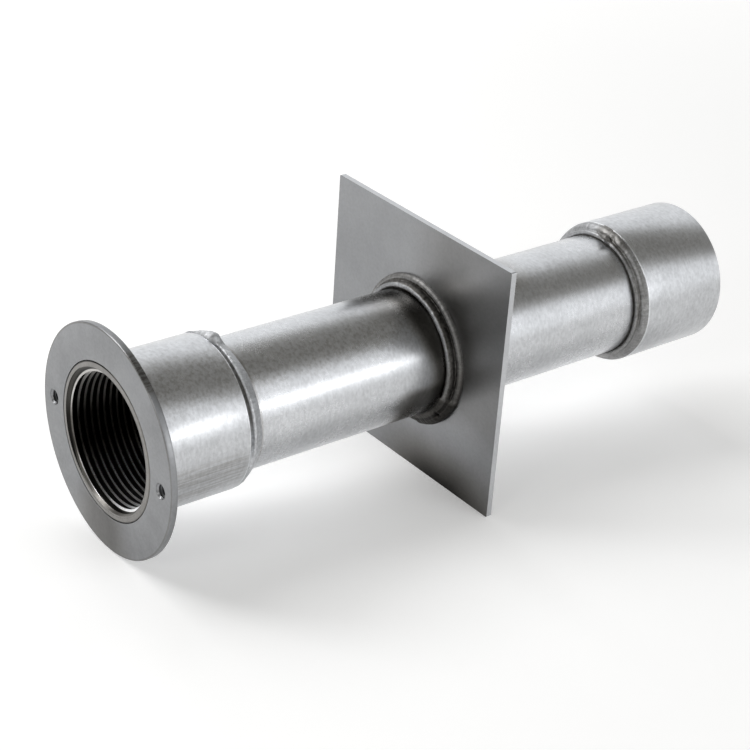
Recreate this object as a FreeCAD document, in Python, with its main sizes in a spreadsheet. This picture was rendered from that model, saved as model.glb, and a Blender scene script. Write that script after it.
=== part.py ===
import FreeCAD, Part
import os

import Sketcher

# Wall sleeve for a concrete pool wall: a flange ring flush round a threaded front socket, a pipe,
# a square water-stop plate at mid-length and a threaded rear socket, all joined by weld beads.
# The origin is the centre of the flange's front face. +Y runs along the pipe towards the rear,
# +Z is up, and the water-stop plate stands square to both. Sizes are in millimetres and degrees.

doc = FreeCAD.newDocument("wall_sleeve")

# Driving dimensions
DIMENSIONS = {
    "total_length": 240,
    # pipe, which the round pieces are sized from
    "pipe_diameter": 43,
    "pipe_wall": 1.5,
    # sockets, the same turned piece at each end: steps out from the pipe to the crests of a 1 1/2 inch
    # pipe thread (44.845 mm across), on to the mouth, and from the crests to the outside
    "thread_step": 0.9225,
    "mouth_step": 2.2775,
    "socket_wall": 2.9775,
    "socket_length": 36,
    "thread_depth": 27,
    "seat_clearance": 0.05,
    "mouth_depth": 1.1,
    "socket_edge_chamfer": 0.3,
    # flange ring with two tapped screw holes
    "flange_seam": 0.2,
    "flange_width": 11.9,
    "flange_thickness": 2.25,
    "flange_edge_chamfer": 0.3,
    "screw_inset": 6.25,
    "screw_bore_diameter": 4.2,
    "screw_line_angle": 1.4,
    # water-stop plate, whose hole is cut a little off the middle of the square
    "plate_side": 89.5,
    "plate_thickness": 2,
    "plate_front": 119,
    "plate_shift_left": 1.2,
    "plate_shift_up": 1.1,
    "plate_hole_clearance": 0.1,
    "plate_corner_round": 0.6,
    # a ridge's crown stands this far off the straight line between its corners, both ways
    "bead_crown": 0.3,
    # fillet behind the flange
    "flange_weld_leg": 3,
    # bead at the front socket: a groove left beside the socket, a ridge, a valley and a long run-out
    "front_weld_length": 6.3,
    "front_weld_groove": 0.8,
    "front_weld_valley_drop": 1.4,
    "front_weld_valley_along": 2.8,
    "front_lump_angle": 99,
    "front_lump_half_length": 6.5,
    "front_lump_half_width": 3.2,
    "front_lump_rise": 1.2,
    # two-pass fillet in front of the plate, with a lump and a crater where it ends
    "plate_weld_reach": 4.2,
    "plate_weld_rise": 3.7,
    "plate_weld_valley_out": 2,
    "plate_weld_valley_up": 1.4,
    "plate_lump_angle": -31,
    "plate_lump_half_length": 4.5,
    "plate_lump_half_width": 1.6,
    "crater_angle": -45,
    "crater_radius": 1.2,
    "crater_floor": 0.8,
    # fillet behind the plate
    "back_weld_leg": 3,
    # sloped fillet at the rear socket, with a lip at its toe
    "rear_weld_length": 3.5,
    "rear_weld_lip": 0.7,
    "rear_lump_angle": 76,
    "rear_lump_half_length": 4,
    "rear_lump_half_width": 1.3,
}

sizes = doc.addObject("Spreadsheet::Sheet", "sizes")
for row, (alias, value) in enumerate(DIMENSIONS.items(), start=1):
    sizes.set(f"A{row}", alias)
    sizes.set(f"B{row}", f"{value:g}")
    sizes.setAlias(f"B{row}", alias)
doc.recompute()

# Radii and places that several parts share, worked out from the sheet
PIPE_OUTER = "(sizes.pipe_diameter / 2)"
PIPE_INNER = f"({PIPE_OUTER} - sizes.pipe_wall)"
SEAT_BORE = f"({PIPE_OUTER} + sizes.seat_clearance)"
THREAD_BORE = f"({PIPE_OUTER} + sizes.thread_step)"
MOUTH_BORE = f"({THREAD_BORE} + sizes.mouth_step)"
MOUTH_END = "(sizes.mouth_depth + sizes.mouth_step)"
SOCKET_OUTER = f"({THREAD_BORE} + sizes.socket_wall)"
FLANGE_BORE = f"({SOCKET_OUTER} + sizes.flange_seam)"
FLANGE_OUTER = f"({FLANGE_BORE} + sizes.flange_width)"
REAR_SOCKET_FRONT = "(sizes.total_length - sizes.socket_length)"
PLATE_BACK = "(sizes.plate_front + sizes.plate_thickness)"


def value_of(expression):
    """The number that an expression on the sheet gives now."""
    return float(sizes.evalExpression(expression))


def origin_feature(body, role):
    """One of a body's own origin planes or axes."""
    return next(item for item in body.Origin.OriginFeatures if item.Role == role)


def new_body(label, start, turned_round=False):
    """A body that starts at a place along the pipe and runs towards the rear, or, turned round
    by half a turn about +Z, towards the front."""
    body = doc.addObject("PartDesign::Body", label)
    body.Label = label
    if turned_round:
        body.Placement.Rotation = FreeCAD.Rotation(FreeCAD.Vector(0, 0, 1), 180)
    body.setExpression("Placement.Base.y", start)
    return body


def new_sketch(body, name, role):
    """A sketch on one of the body's own origin planes."""
    sketch = body.newObject("Sketcher::SketchObject", name)
    sketch.AttachmentSupport = [(origin_feature(body, role), "")]
    sketch.MapMode = "FlatFace"
    return sketch


def bind_size(sketch, kind, *where_and_size):
    """Adds a constraint whose last value is an expression, and ties it to the sheet."""
    *where, expression = where_and_size
    index = sketch.addConstraint(Sketcher.Constraint(kind, *where, value_of(expression)))
    sketch.setExpression(f"Constraints[{index}]", expression)


def hold_point(sketch, geometry, end, across, up):
    """Holds a sketch point at two expressions from the sketch's origin."""
    for kind, axis, expression in (("DistanceX", -2, across), ("DistanceY", -1, up)):
        if expression == "0":
            sketch.addConstraint(Sketcher.Constraint("PointOnObject", geometry, end, axis))
        else:
            bind_size(sketch, kind, -1, 1, geometry, end, expression)


def add_circle(sketch, radius, across="0", up="0"):
    """A circle whose centre and radius follow the sheet."""
    centre = FreeCAD.Vector(value_of(across), value_of(up), 0)
    circle = sketch.addGeometry(Part.Circle(centre, FreeCAD.Vector(0, 0, 1), value_of(radius)))
    hold_point(sketch, circle, 3, across, up)
    bind_size(sketch, "Radius", circle, radius)


def add_outline(sketch, corners):
    """A closed outline of straight sides between corners, each held at (across, up)."""
    points = [FreeCAD.Vector(value_of(across), value_of(up), 0) for across, up in corners]
    sides = [
        sketch.addGeometry(Part.LineSegment(points[number - 1], point))
        for number, point in enumerate(points)
    ]
    for number, side in enumerate(sides):
        sketch.addConstraint(Sketcher.Constraint("Coincident", sides[number - 1], 2, side, 1))
        hold_point(sketch, side, 2, *corners[number])


def crown(start, finish):
    """The corner at the middle of a bead's face, standing proud of the line between two others."""
    return tuple(f"(({a} + {b}) / 2 + sizes.bead_crown)" for a, b in zip(start, finish))


def turn_ring(body, name, corners):
    """A ring turned about the pipe's axis from an outline in radius and distance along the pipe."""
    outline = new_sketch(body, name + "_outline", "XY_Plane")
    add_outline(outline, corners)
    ring = body.newObject("PartDesign::Revolution", name)
    ring.Profile = outline
    ring.ReferenceAxis = (origin_feature(body, "Y_Axis"), [""])
    ring.Angle = 360


def pad_rearwards(body, name, sketch, thickness):
    """Pads a sketch on the XZ plane towards +Y."""
    pad = body.newObject("PartDesign::Pad", name)
    pad.Profile = sketch
    pad.Reversed = True
    pad.setExpression("Length", thickness)
    return pad


def place_round(feature, radius, angle):
    """Moves a feature on the XZ plane out to a radius and an angle round the pipe, its own X axis
    pointing outwards. The angle runs from +X up to +Z."""
    feature.AttachmentOffset.Rotation = FreeCAD.Rotation(FreeCAD.Vector(0, 0, 1), value_of(angle))
    feature.setExpression("AttachmentOffset.Base.x", f"{radius} * cos({angle})")
    feature.setExpression("AttachmentOffset.Base.y", f"{radius} * sin({angle})")
    feature.setExpression("AttachmentOffset.Rotation.Angle", angle)


def add_lump(body, lump, radius, angle, along):
    """A spindle-shaped lump where a bead starts or stops, its long axis going round the pipe."""
    outline = new_sketch(body, lump + "_outline", "XZ_Plane")
    length = f"sizes.{lump}_half_length"
    width = f"sizes.{lump}_half_width"
    add_outline(outline, [
        ("0", f"-{length}"),
        ("0", length),
        (f"{width} / 3", length),
        (width, f"{length} / 3"),
        (width, f"-{length} / 3"),
        (f"{width} / 3", f"-{length}"),
    ])
    place_round(outline, radius, angle)
    outline.setExpression("AttachmentOffset.Base.z", f"-({along})")
    spindle = body.newObject("PartDesign::Revolution", lump)
    spindle.Profile = outline
    spindle.ReferenceAxis = (outline, ["V_Axis"])
    spindle.Angle = 360


def clear_cylinder(body, name, radius, start, length):
    """Clears a bead from the space of a round part, so that the two only touch."""
    cylinder = body.newObject("PartDesign::SubtractiveCylinder", name)
    cylinder.AttachmentSupport = [(origin_feature(body, "XY_Plane"), "")]
    cylinder.MapMode = "FlatFace"
    cylinder.AttachmentOffset.Rotation = FreeCAD.Rotation(FreeCAD.Vector(1, 0, 0), -90)
    cylinder.setExpression("Radius", radius)
    cylinder.setExpression("Height", length)
    cylinder.setExpression("AttachmentOffset.Base.y", start)


def flange():
    """The turned ring, its front edge chamfered, with two tapped holes on a line through the middle."""
    body = new_body("front_flange", "0")
    edge = "sizes.flange_edge_chamfer"
    turn_ring(body, "flange_ring", [
        (FLANGE_BORE, "0"),
        (FLANGE_BORE, "sizes.flange_thickness"),
        (FLANGE_OUTER, "sizes.flange_thickness"),
        (FLANGE_OUTER, edge),
        (f"({FLANGE_OUTER} - {edge})", "0"),
    ])
    holes = new_sketch(body, "screw_places", "XZ_Plane")
    reach = f"({FLANGE_OUTER} - sizes.screw_inset)"
    for side in ("-", ""):
        across = f"{side}({reach} * cos(sizes.screw_line_angle))"
        up = f"-({across}) * tan(sizes.screw_line_angle)"
        add_circle(holes, "sizes.screw_bore_diameter / 2", across, up)
    screws = body.newObject("PartDesign::Pocket", "screw_holes")
    screws.Profile = holes
    screws.Type = "ThroughAll"
    return body


def socket(label, start, turned_round):
    """A turned socket, mouth first: counterbore, chamfer, thread bore and the seat for the pipe."""
    body = new_body(label, start, turned_round)
    edge = "sizes.socket_edge_chamfer"
    turn_ring(body, label + "_turning", [
        (MOUTH_BORE, "0"),
        (MOUTH_BORE, "sizes.mouth_depth"),
        (THREAD_BORE, MOUTH_END),
        (THREAD_BORE, "sizes.thread_depth"),
        (SEAT_BORE, "sizes.thread_depth"),
        (SEAT_BORE, "sizes.socket_length"),
        (SOCKET_OUTER, "sizes.socket_length"),
        (SOCKET_OUTER, edge),
        (f"({SOCKET_OUTER} - {edge})", "0"),
    ])
    return body


def pipe():
    """The plain tube, seated in both sockets."""
    body = new_body("pipe", "sizes.thread_depth")
    outline = new_sketch(body, "pipe_outline", "XZ_Plane")
    add_circle(outline, PIPE_OUTER)
    add_circle(outline, PIPE_INNER)
    pad_rearwards(body, "pipe_tube", outline, "sizes.total_length - 2 * sizes.thread_depth")
    return body


def plate():
    """The square water-stop plate with its hole for the pipe."""
    body = new_body("wall_plate", "sizes.plate_front")
    outline = new_sketch(body, "plate_outline", "XZ_Plane")
    left = "(-sizes.plate_side / 2 - sizes.plate_shift_left)"
    right = "(sizes.plate_side / 2 - sizes.plate_shift_left)"
    bottom = "(-sizes.plate_side / 2 + sizes.plate_shift_up)"
    top = "(sizes.plate_side / 2 + sizes.plate_shift_up)"
    add_outline(outline, [(left, bottom), (left, top), (right, top), (right, bottom)])
    add_circle(outline, f"{PIPE_OUTER} + sizes.plate_hole_clearance")
    sheet = pad_rearwards(body, "plate_sheet", outline, "sizes.plate_thickness")
    doc.recompute()

    corners = [
        f"Edge{number}"
        for number, edge in enumerate(sheet.Shape.Edges, start=1)
        if len(edge.Vertexes) == 2 and abs(edge.tangentAt(edge.FirstParameter).y) > 0.999
    ]
    rounding = body.newObject("PartDesign::Fillet", "plate_corners")
    rounding.Base = (sheet, corners)
    rounding.setExpression("Radius", "sizes.plate_corner_round")
    return body


def fillet_bead(body, name, inner, leg):
    """A plain fillet between a round piece and a face square to it."""
    turn_ring(body, name, [(inner, "0"), (inner, leg), (f"({inner} + {leg})", "0")])


def flange_weld():
    """The fillet behind the flange, round the front socket."""
    body = new_body("flange_weld", "sizes.flange_thickness")
    fillet_bead(body, "flange_bead", SOCKET_OUTER, "sizes.flange_weld_leg")
    return body


def front_socket_weld():
    """The bead from the front socket's end face down to the pipe, with a start lump near the top."""
    body = new_body("front_socket_weld", "sizes.socket_length")
    toe = (PIPE_OUTER, "sizes.front_weld_length")
    valley = (f"({SOCKET_OUTER} - sizes.front_weld_valley_drop)", "sizes.front_weld_valley_along")
    foot = (f"({SOCKET_OUTER} - sizes.front_weld_groove)", "0")
    turn_ring(body, "front_bead", [
        (PIPE_OUTER, "0"), toe, crown(toe, valley), valley, foot,
    ])
    lump_top = f"({SOCKET_OUTER} + sizes.front_lump_rise)"
    add_lump(body, "front_lump", f"({lump_top} - sizes.front_lump_half_width)", "sizes.front_lump_angle",
             "sizes.front_weld_valley_along / 2")
    clear_cylinder(body, "front_pipe_space", PIPE_OUTER, "0", "sizes.front_weld_length")
    clear_cylinder(body, "front_socket_space", f"({lump_top} + sizes.front_lump_rise)",
                   "-sizes.socket_length", "sizes.socket_length")
    return body


def plate_front_weld():
    """The two-pass fillet in front of the plate: a ridge on the pipe, a valley and a ridge on the
    plate, with a lump and a crater where the second pass ends."""
    body = new_body("plate_front_weld", "sizes.plate_front", turned_round=True)
    valley_radius = f"({PIPE_OUTER} + sizes.plate_weld_valley_out)"
    toe = (PIPE_OUTER, "sizes.plate_weld_rise")
    valley = (valley_radius, "sizes.plate_weld_valley_up")
    foot = (f"({PIPE_OUTER} + sizes.plate_weld_reach)", "0")
    turn_ring(body, "plate_bead", [
        (PIPE_OUTER, "0"), toe, crown(toe, valley), valley, crown(valley, foot), foot,
    ])
    add_lump(body, "plate_lump", valley_radius, "(180 - sizes.plate_lump_angle)",
             "sizes.plate_weld_valley_up")
    crater = body.newObject("PartDesign::SubtractiveCylinder", "crater")
    crater.AttachmentSupport = [(origin_feature(body, "XZ_Plane"), "")]
    crater.MapMode = "FlatFace"
    crater.setExpression("Radius", "sizes.crater_radius")
    crater.setExpression("Height", "sizes.plate_weld_rise")
    place_round(crater, valley_radius, "(180 - sizes.crater_angle)")
    crater.setExpression("AttachmentOffset.Base.z", "-(sizes.crater_floor + sizes.plate_weld_rise)")
    clear_cylinder(body, "plate_pipe_space", PIPE_OUTER, "0", "sizes.plate_weld_rise")
    clear_cylinder(body, "plate_sheet_space", foot[0], "-sizes.plate_thickness", "sizes.plate_thickness")
    return body


def plate_back_weld():
    """The plain fillet behind the plate."""
    body = new_body("plate_back_weld", PLATE_BACK)
    fillet_bead(body, "back_bead", PIPE_OUTER, "sizes.back_weld_leg")
    return body


def rear_socket_weld():
    """The sloped fillet from a lip on the pipe up to the rear socket's outside, with a lump on top."""
    body = new_body("rear_socket_weld", REAR_SOCKET_FRONT, turned_round=True)
    lip = (f"({PIPE_OUTER} + sizes.rear_weld_lip)", "sizes.rear_weld_length")
    foot = (SOCKET_OUTER, "0")
    turn_ring(body, "rear_bead", [
        (PIPE_OUTER, "0"), (PIPE_OUTER, "sizes.rear_weld_length"), lip, foot,
    ])
    add_lump(body, "rear_lump", f"(({lip[0]} + {foot[0]}) / 2)", "(180 - sizes.rear_lump_angle)",
             "sizes.rear_weld_length / 2")
    clear_cylinder(body, "rear_pipe_space", PIPE_OUTER, "0", "sizes.rear_weld_length")
    return body


nodes = [
    flange(),
    socket("front_socket", "0", turned_round=False),
    pipe(),
    plate(),
    socket("rear_socket", "sizes.total_length", turned_round=True),
    flange_weld(),
    front_socket_weld(),
    plate_front_weld(),
    plate_back_weld(),
    rear_socket_weld(),
]
doc.recompute()

# Every feature has to have rebuilt, and every node has to be one valid solid
for item in doc.Objects:
    if "Invalid" in item.State or "Error" in item.State:
        raise RuntimeError(f"{item.Name} did not rebuild: {item.State}")
for node in nodes:
    if node.Shape.isNull() or not node.Shape.isValid() or len(node.Shape.Solids) != 1:
        raise RuntimeError(f"{node.Label} is not one valid solid")

os.makedirs("parts", exist_ok=True)
for node in nodes:
    node.Shape.exportStep(os.path.join("parts", node.Label + ".step"))
    box = node.Shape.BoundBox
    print(f"{node.Label}: {node.Shape.Volume:.1f} mm3, y {box.YMin:.2f} to {box.YMax:.2f}, "
          f"x {box.XMin:.2f} to {box.XMax:.2f}, z {box.ZMin:.2f} to {box.ZMax:.2f}")
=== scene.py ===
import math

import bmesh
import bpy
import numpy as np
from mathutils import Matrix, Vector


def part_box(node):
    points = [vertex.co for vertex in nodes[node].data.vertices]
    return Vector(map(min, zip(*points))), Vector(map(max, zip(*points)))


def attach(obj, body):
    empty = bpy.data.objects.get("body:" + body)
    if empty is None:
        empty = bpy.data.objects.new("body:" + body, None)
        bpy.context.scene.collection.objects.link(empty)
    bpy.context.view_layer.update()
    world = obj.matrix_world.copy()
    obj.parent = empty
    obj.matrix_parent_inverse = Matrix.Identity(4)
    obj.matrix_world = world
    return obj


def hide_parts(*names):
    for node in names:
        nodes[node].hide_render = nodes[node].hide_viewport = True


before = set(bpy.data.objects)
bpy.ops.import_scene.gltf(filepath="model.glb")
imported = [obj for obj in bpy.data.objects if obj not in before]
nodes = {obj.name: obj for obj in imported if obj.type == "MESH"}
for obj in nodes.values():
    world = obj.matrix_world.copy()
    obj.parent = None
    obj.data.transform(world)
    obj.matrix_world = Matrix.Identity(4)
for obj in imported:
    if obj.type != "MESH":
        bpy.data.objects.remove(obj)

# %% [markdown]
# # A welded wall sleeve, dressed for a studio picture
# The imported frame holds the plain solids: a flange ring, two sockets, a pipe, a square plate and five
# weld beads. This script adds what a plain solid leaves out: the pipe threads, the tapped screw holes,
# the uneven beads, and satin, pickled stainless steel all over.
# Lengths are written in millimetres and turned into metres where a mesh is made. The driving sizes are
# measured on the frame, so the dressing follows the solids when they change.

MM = 0.001
TURN = 2 * math.pi
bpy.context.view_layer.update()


def corner_mm(node, corner):
    """One corner of a CAD node's box in millimetres: 0 is the lowest and 1 the highest."""
    return np.array(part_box(node)[corner]) / MM


pipe_radius = corner_mm("pipe", 1)[0]
socket_radius = corner_mm("front_socket", 1)[0]
socket_length = corner_mm("front_socket", 1)[1]
flange_radius = corner_mm("front_flange", 1)[0]
flange_thickness = corner_mm("front_flange", 1)[1]
total_length = corner_mm("rear_socket", 1)[1]
plate_front, plate_back = (corner_mm("wall_plate", side)[1] for side in (0, 1))
plate_bottom = corner_mm("wall_plate", 0)[2]
print(f"radii: pipe {pipe_radius:.2f}, socket {socket_radius:.2f}, flange {flange_radius:.2f} mm")
print(f"plate from {plate_front:.2f} to {plate_back:.2f}, sleeve {total_length:.2f} mm long")

# %% [markdown]
# ## Turning shapes from rows and columns
# Nearly all of the sleeve is round, so every new piece is a grid: rows follow an outline, columns go round
# the pipe. Blender's Screw modifier would turn an outline too, but it makes every row a flat circle. Here
# a row may lean along the pipe as it goes round, which is how a thread stays sharp: its crest lies exactly
# on one row.

# %% Grids and meshes
MERGE_DISTANCE = 2e-6


def grid_faces(rows, columns, close_rows=True):
    """The four-sided faces of a grid of points, closed across its rows if asked."""
    row = np.arange(rows if close_rows else rows - 1)[:, None]
    column = np.arange(columns - 1)[None, :]
    here, there = row * columns, (row + 1) % rows * columns
    corners = [here + column, here + column + 1, there + column + 1, there + column]
    return np.stack(corners, -1).reshape(-1, 4)


def round_points(radius, along, angle):
    """Points round the pipe's axis from arrays of radius, place along the pipe and angle."""
    radius, along, angle = np.broadcast_arrays(radius, along, angle)
    return np.stack([radius * np.cos(angle), along, radius * np.sin(angle)], -1).reshape(-1, 3)


def closed_mesh(name, points, faces):
    """A mesh in metres from points in millimetres: doubles merged and normals outwards."""
    mesh = bpy.data.meshes.new(name)
    mesh.from_pydata((np.asarray(points) * MM).tolist(), [], faces)
    tidy = bmesh.new()
    tidy.from_mesh(mesh)
    bmesh.ops.remove_doubles(tidy, verts=tidy.verts, dist=MERGE_DISTANCE)
    bmesh.ops.recalc_face_normals(tidy, faces=tidy.faces)
    tidy.to_mesh(mesh)
    tidy.free()
    return mesh


def smooth(mesh, sharp):
    """Smooth shading, but for edges sharper than an angle in degrees."""
    mesh.shade_smooth()
    mesh.set_sharp_from_angle(angle=math.radians(sharp))
    return mesh


def make_mesh(name, points, faces, sharp=40):
    """A closed mesh with smooth shading, from a grid's points and faces."""
    return smooth(closed_mesh(name, points, faces.tolist()), sharp)


def show(name, data):
    """A new object in the scene, from a mesh, a lamp or a camera."""
    shown = bpy.data.objects.new(name, data)
    bpy.context.scene.collection.objects.link(shown)
    return shown


def add_piece(mesh, material, node):
    """Puts a mesh in the scene as the dressed form of one CAD node."""
    piece = show(mesh.name, mesh)
    mesh.materials.clear()
    mesh.materials.append(material)
    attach(piece, "root")
    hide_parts(node)
    print(f"{piece.name}: {len(mesh.polygons)} faces")
    return piece


# %% [markdown]
# Turned pieces have small rounded corners that catch the light. A Bevel modifier could round them, but
# without a weight on each edge it gives them all one width. Here an outline is a list of corners, each
# with its own rounding, as on a turner's drawing.

# %% Outlines with softened corners
def soft_outline(corners, steps=4):
    """Points along a closed outline. A corner is (radius, along, rounding), all in millimetres."""
    points = []
    for number, (radius, along, rounding) in enumerate(corners):
        corner = np.array([radius, along])
        before, after = (np.array(corners[number + side][:2]) for side in (-1, 1 - len(corners)))
        ends = [
            corner + (other - corner) * rounding / np.linalg.norm(other - corner)
            for other in (before, after)
        ]
        for t in np.linspace(0, 1, steps):
            points.append((1 - t) ** 2 * ends[0] + 2 * t * (1 - t) * corner + t ** 2 * ends[1])
    return np.array(points)


# %% [markdown]
# ## The pipe thread
# A 1 1/2 inch parallel pipe thread has 11 turns to the inch and 55 degree flanks. The tap leaves narrow,
# rounded crests, which are what shines in the picture, and rounded roots between them. A Screw modifier
# could wind one tooth round the axis, but its end would have to be cut at the mouth. Rows that wind with
# the thread, and are held at the mouth and at the thread's end, need no cut. The first crest is placed
# where the picture shows it.

# %% Thread form
# Rows lie at these tenths of a pitch: four on the crest's curve, two on the flank and two in the root.
FORM_ROWS = np.array([0, 0.46, 0.86, 1.15, 2.2, 3.7, 4.4, 5])


def thread_radius(offset, thread):
    """The thread's radius at a distance along the pipe from the middle of a crest."""
    pitch, rounding = thread["pitch"], thread["crest_rounding"]
    steep = math.radians(90 - thread["flank_angle"])
    away = np.abs((offset + pitch / 2) % pitch - pitch / 2)
    on_crest = np.minimum(away, rounding * math.sin(steep))
    crest = thread["crest"] + rounding - np.sqrt(rounding ** 2 - on_crest ** 2)
    flank = crest + (away - on_crest) * math.tan(steep)
    root = thread["root"] - (pitch / 2 - away) ** 2 / (2 * thread["root_rounding"])
    return np.minimum(flank, root)


def thread_rows(angle, start, end, first_crest, thread):
    """Rows that wind round with the thread, held between two places along it."""
    pitch = thread["pitch"]
    half_form = FORM_ROWS / 10 * pitch
    form = np.concatenate([half_form, pitch - half_form[-2:0:-1]])
    first, last = math.floor((start - first_crest) / pitch), math.ceil((end - first_crest) / pitch)
    offset = (np.arange(first, last + 1)[:, None] * pitch + form).ravel()
    shift = first_crest - pitch * angle / TURN
    along = np.clip(offset[:, None] + shift, start, end)
    return thread_radius(along - shift, thread), along


PIPE_THREAD = {
    "pitch": 2.309, "crest": 22.4225, "root": 23.9015, "flank_angle": 27.5,
    "crest_rounding": 0.3, "root_rounding": 0.317,
}
print(f"pipe thread {PIPE_THREAD['root'] - PIPE_THREAD['crest']:.3f} mm deep")

# %% [markdown]
# ## The sockets
# Each socket is a short turned sleeve that is tapped from its mouth and welded over the pipe's end. The
# thread's rows and the body's outline close into one skin, so no seam can show between them. The thread
# starts at a small chamfer, fades out over its last turn, and the bore steps up to the seat for the pipe.
# The rear socket is the same one turned round to face the other way.

# %% Both sockets
FIRST_CREST = -0.055
THREAD_DEPTH = 27
MOUTH_RADIUS = 23.3
SEAT_RADIUS = pipe_radius + 0.05
SOCKET_COLUMNS = 161

angles = np.linspace(0, TURN, SOCKET_COLUMNS)
radius, along = thread_rows(angles, 0, THREAD_DEPTH, FIRST_CREST, PIPE_THREAD)
chamfer = MOUTH_RADIUS - along
run_out = np.clip((THREAD_DEPTH - along) / PIPE_THREAD["pitch"], 0, 1)
radius = PIPE_THREAD["crest"] + (radius - PIPE_THREAD["crest"]) * run_out
wall_rows = round_points(np.maximum(radius, chamfer), along, angles)

body_outline = soft_outline([
    (PIPE_THREAD["crest"], THREAD_DEPTH, 0.02), (SEAT_RADIUS, THREAD_DEPTH, 0.02),
    (SEAT_RADIUS, socket_length, 0.1), (socket_radius, socket_length, 0.35), (socket_radius, 0, 0.3),
    (PIPE_THREAD["root"], 0, 0.02),
])
body_rows = round_points(body_outline[:, :1], body_outline[:, 1:], angles)
socket_points = np.concatenate([wall_rows, body_rows])
socket_faces = grid_faces(len(socket_points) // SOCKET_COLUMNS, SOCKET_COLUMNS)
rear_points = np.array([0, total_length, 0]) + socket_points * np.array([-1, -1, 1])
print(f"each socket has {len(socket_faces)} faces before tidying")

# %% [markdown]
# ## The flange
# The ring is turned, and two M5 holes are tapped through it on a line that leans a little. A hole could be
# modelled into the ring's grid, but its round edge would not follow rows and columns. So the ring is
# drilled with a Boolean modifier, as a fitter would drill it, and each hole is lined with a thread.

# %% The turned ring
FLANGE_BORE = socket_radius + 0.2
RING_COLUMNS = 193

ring = soft_outline([
    (FLANGE_BORE, 0, 0.12), (FLANGE_BORE, flange_thickness, 0.12),
    (flange_radius, flange_thickness, 0.45), (flange_radius, 0, 0.45),
])
ring_points = round_points(ring[:, :1], ring[:, 1:], np.linspace(0, TURN, RING_COLUMNS))
ring_mesh = make_mesh("flange_ring", ring_points, grid_faces(len(ring), RING_COLUMNS))
ring_object = show("flange_ring", ring_mesh)
print(f"flange ring: {len(ring_mesh.polygons)} faces")

# %% [markdown]
# Each lining is a closed ring: threaded inside, with a small chamfer at its front, and plain outside,
# where it meets the drilled wall. The drill is a closed cylinder that sticks out at both ends, because
# a Boolean cuts cleanly only where no faces lie in one plane.

# %% The tapped holes
SCREW_THREAD = {
    "pitch": 0.8, "crest": 2.1, "root": 2.5, "flank_angle": 30,
    "crest_rounding": 0.104, "root_rounding": 0.08,
}
SCREW_FIRST_CREST = 0.2
SCREW_CIRCLE = 31.25
SCREW_LINE = math.radians(1.4)
HOLE_MOUTH = 2.65
DRILL_ENDS = np.array([[-1.0], [4.0]])
HOLE_COLUMNS = 49

hole_angles = np.linspace(0, TURN, HOLE_COLUMNS)
radius, along = thread_rows(hole_angles, 0, flange_thickness, SCREW_FIRST_CREST, SCREW_THREAD)
tapped = round_points(np.maximum(radius, HOLE_MOUTH - along), along, hole_angles)
hole_wall = np.full((2, 1), HOLE_MOUTH)
drilled_wall = round_points(hole_wall, np.array([[flange_thickness], [0.0]]), hole_angles)
lining = np.concatenate([tapped, drilled_wall])
lining_faces = grid_faces(len(radius) + len(hole_wall), HOLE_COLUMNS)

drill = round_points(hole_wall, DRILL_ENDS, hole_angles)
drill_faces = grid_faces(len(DRILL_ENDS), HOLE_COLUMNS, close_rows=False).tolist()
drill_faces += [list(range(first, first + HOLE_COLUMNS - 1)) for first in (0, HOLE_COLUMNS)]
print(f"each tapped hole has {len(lining_faces)} faces before tidying")

# %% [markdown]
# The Boolean modifiers are evaluated once, and their result is joined with the two linings into one mesh.
# The finished flange then needs no modifier, so the ring's first object and the drills can go.

# %% Drill the ring and line its holes
flange_shape = bmesh.new()
drills = []
for side in (-1, 1):
    across = side * SCREW_CIRCLE * math.cos(SCREW_LINE)
    up = -side * SCREW_CIRCLE * math.sin(SCREW_LINE)
    centre = np.array([across, 0, up])
    flange_shape.from_mesh(make_mesh("tapped_hole", lining + centre, lining_faces))
    drills.append(show("drill", closed_mesh("drill", drill + centre, drill_faces)))
    hole = ring_object.modifiers.new("hole", "BOOLEAN")
    hole.object = drills[-1]
    hole.solver = "EXACT"
bpy.context.view_layer.update()
drilled_ring = ring_object.evaluated_get(bpy.context.evaluated_depsgraph_get())
flange_shape.from_mesh(bpy.data.meshes.new_from_object(drilled_ring))
flange_mesh = bpy.data.meshes.new("flange")
flange_shape.to_mesh(flange_mesh)
flange_shape.free()
smooth(flange_mesh, 30)
for spare in [ring_object, *drills]:
    bpy.data.objects.remove(spare)
print(f"flange: {len(flange_mesh.polygons)} faces")

# %% [markdown]
# ## Weld beads
# A bead is filler metal that froze in a corner while the welder went round, so its outline swells and
# shrinks a little, and it has lumps where the welder started, stopped and crossed over. It could be
# sculpted, or roughened with a Displace modifier and a texture. A ring whose outline moves along its
# own normals stays closed, follows the sizes of the corner, and lets each lump be placed by angle where
# the picture shows it. Chance moves it only a few tenths of a millimetre, from fixed seeds.

# %% Curves for the beads
BEAD_COLUMNS = 481
BEAD_ANGLES = np.linspace(0, TURN, BEAD_COLUMNS)
BEAD_DEGREES = np.degrees(BEAD_ANGLES)
RIPPLE = 0.035


def wander(seed, waves, size):
    """A smooth closed curve round the pipe that wanders by about size millimetres."""
    chance = np.random.default_rng(seed)
    curve = sum(
        chance.normal() * np.cos(wave * BEAD_ANGLES + chance.uniform(0, TURN)) / math.sqrt(len(waves))
        for wave in waves
    )
    return curve * size


def round_off(points, times=3):
    """Cuts an open outline's corners again and again, keeping its two ends."""
    points = np.array(points, float)
    for _ in range(times):
        near, far = points[:-1] * 0.75 + points[1:] * 0.25, points[:-1] * 0.25 + points[1:] * 0.75
        middle = np.stack([near, far], 1).reshape(-1, 2)
        points = np.concatenate([points[:1], middle[1:-1], points[-1:]])
    return points


def hump(away, below, above, blunt=2.0):
    """1 at nought, falling smoothly to 0 at one distance below it and another above it."""
    reach = np.where(away < 0, below, above)
    return np.clip(1 - np.abs(away / reach) ** blunt, 0, 1) ** 1.5


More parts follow.
